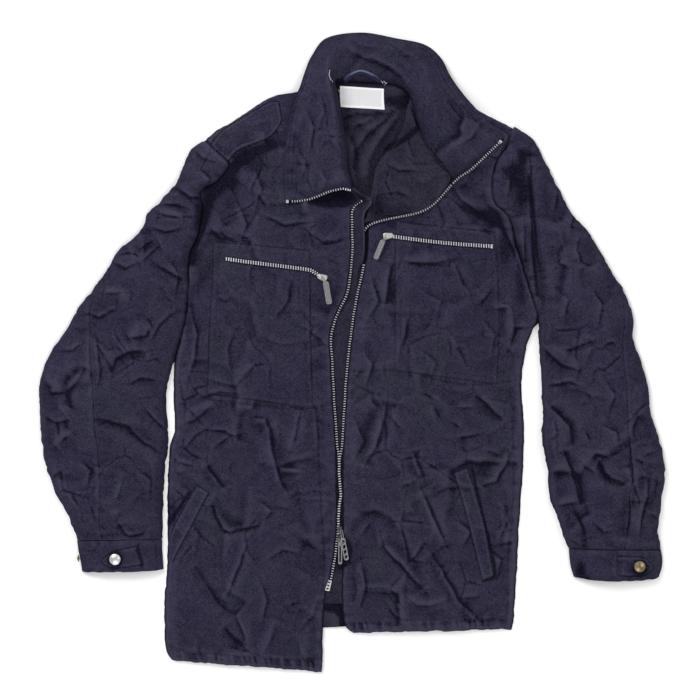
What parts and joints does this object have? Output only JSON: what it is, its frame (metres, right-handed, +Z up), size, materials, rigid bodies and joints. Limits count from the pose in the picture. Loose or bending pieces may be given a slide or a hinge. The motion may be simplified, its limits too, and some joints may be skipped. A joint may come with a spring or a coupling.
{
  "type": "deck jacket",
  "caption": "Dark navy cotton jacket laid out flat with its front zip open, turned-out collar, zipped chest pockets, slanted hand pockets, shoulder straps and snap cuffs.",
  "frame": {"origin": "middle of the footprint, on the surface that the jacket lies on", "axes": "+Z up out of the surface, +Y towards the collar, +X towards the wearer's left side"},
  "size_m": [0.8774, 0.8937, 0.0283],
  "materials": {
    "navy_cotton": "worn dark navy cotton, matt",
    "navy_cotton_inside": "inner face of the same cotton",
    "zip_teeth": "dull silver metal teeth on navy tape",
    "gunmetal": "darkened metal, worn at the edges",
    "nickel": "bright nickel cap",
    "aged_brass": "aged brass cap",
    "label_white": "bare white woven label",
    "loop_satin": "blue-grey satin tape"
  },
  "bodies": {
    "jacket": {"back": "navy_cotton", "front_right": "navy_cotton", "front_left": "navy_cotton", "sleeve_top_right": "navy_cotton", "sleeve_top_left": "navy_cotton", "sleeve_under_right": "navy_cotton", "sleeve_under_left": "navy_cotton", "cuff_right": "navy_cotton", "cuff_left": "navy_cotton", "cuff_tab_right": "navy_cotton", "cuff_tab_left": "navy_cotton", "chest_pocket_right": "navy_cotton", "chest_pocket_left": "navy_cotton", "welt_right": "navy_cotton", "welt_left": "navy_cotton", "epaulette_right": "navy_cotton", "epaulette_left": "navy_cotton", "collar": "navy_cotton", "lapel_left": "navy_cotton_inside", "zip_fly": "navy_cotton_inside", "zip_right_front": "zip_teeth", "zip_left_front": "zip_teeth", "zip_right_collar": "zip_teeth", "zip_left_collar": "zip_teeth", "zip_left_lapel": "zip_teeth", "chest_zip_right": "zip_teeth", "chest_zip_left": "zip_teeth", "slider_main_upper": "gunmetal", "slider_main_lower": "gunmetal", "slider_chest_right": "gunmetal", "slider_chest_left": "gunmetal", "snap_right": "nickel", "zip_end_pin": "nickel", "snap_left": "aged_brass", "snap_stud_right": "aged_brass", "label": "label_white", "hanger_loop": "loop_satin"},
    "pull_chest_right": {"pull_chest_right": "gunmetal"},
    "pull_chest_left": {"pull_chest_left": "gunmetal"},
    "pull_main_upper": {"pull_main_upper": "gunmetal"},
    "pull_main_lower": {"pull_main_lower": "gunmetal"}
  },
  "joints": [
    {"name": "chest_right_pull", "type": "hinge", "parent": "jacket", "child": "pull_chest_right", "pos_m": [-0.043, 0.107, 0.01915], "axis": [-0.9888, -0.1494, 0], "range_deg": [0, 150]},
    {"name": "chest_left_pull", "type": "hinge", "parent": "jacket", "child": "pull_chest_left", "pos_m": [0.05, 0.1635, 0.01471], "axis": [-0.8776, 0.4794, 0], "range_deg": [0, 150]},
    {"name": "main_upper_pull", "type": "hinge", "parent": "jacket", "child": "pull_main_upper", "pos_m": [-0.0144, -0.246, 0.0099], "axis": [-0.9838, -0.179, 0], "range_deg": [0, 150]},
    {"name": "main_lower_pull", "type": "hinge", "parent": "jacket", "child": "pull_main_lower", "pos_m": [-0.0182, -0.2585, 0.0099], "axis": [-1, 0, 0], "range_deg": [0, 150]}
  ]
}
